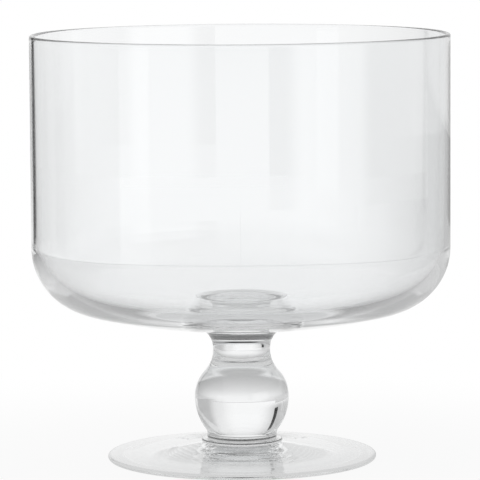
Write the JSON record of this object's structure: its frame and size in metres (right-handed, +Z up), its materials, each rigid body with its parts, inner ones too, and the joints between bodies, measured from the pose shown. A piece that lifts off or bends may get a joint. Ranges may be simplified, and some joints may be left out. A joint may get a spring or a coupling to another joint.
{
  "type": "trifle bowl",
  "caption": "Footed clear glass trifle bowl: a straight-sided round bowl with a dished floor on a ball-knopped stem and a spreading disc foot, for serving layered desserts or showing fruit.",
  "frame": {"origin": "on the table, under the middle of the foot", "axes": "+Z up along the axis of the bowl, stem and foot; the object is round, so +X and +Y are any two level directions"},
  "size_m": [0.216, 0.216, 0.22],
  "materials": {
    "clear_glass": "fire-polished"
  },
  "bodies": {
    "root": {"bowl": "clear_glass", "stem": "clear_glass", "collar": "clear_glass", "foot": "clear_glass"}
  },
  "joints": []
}
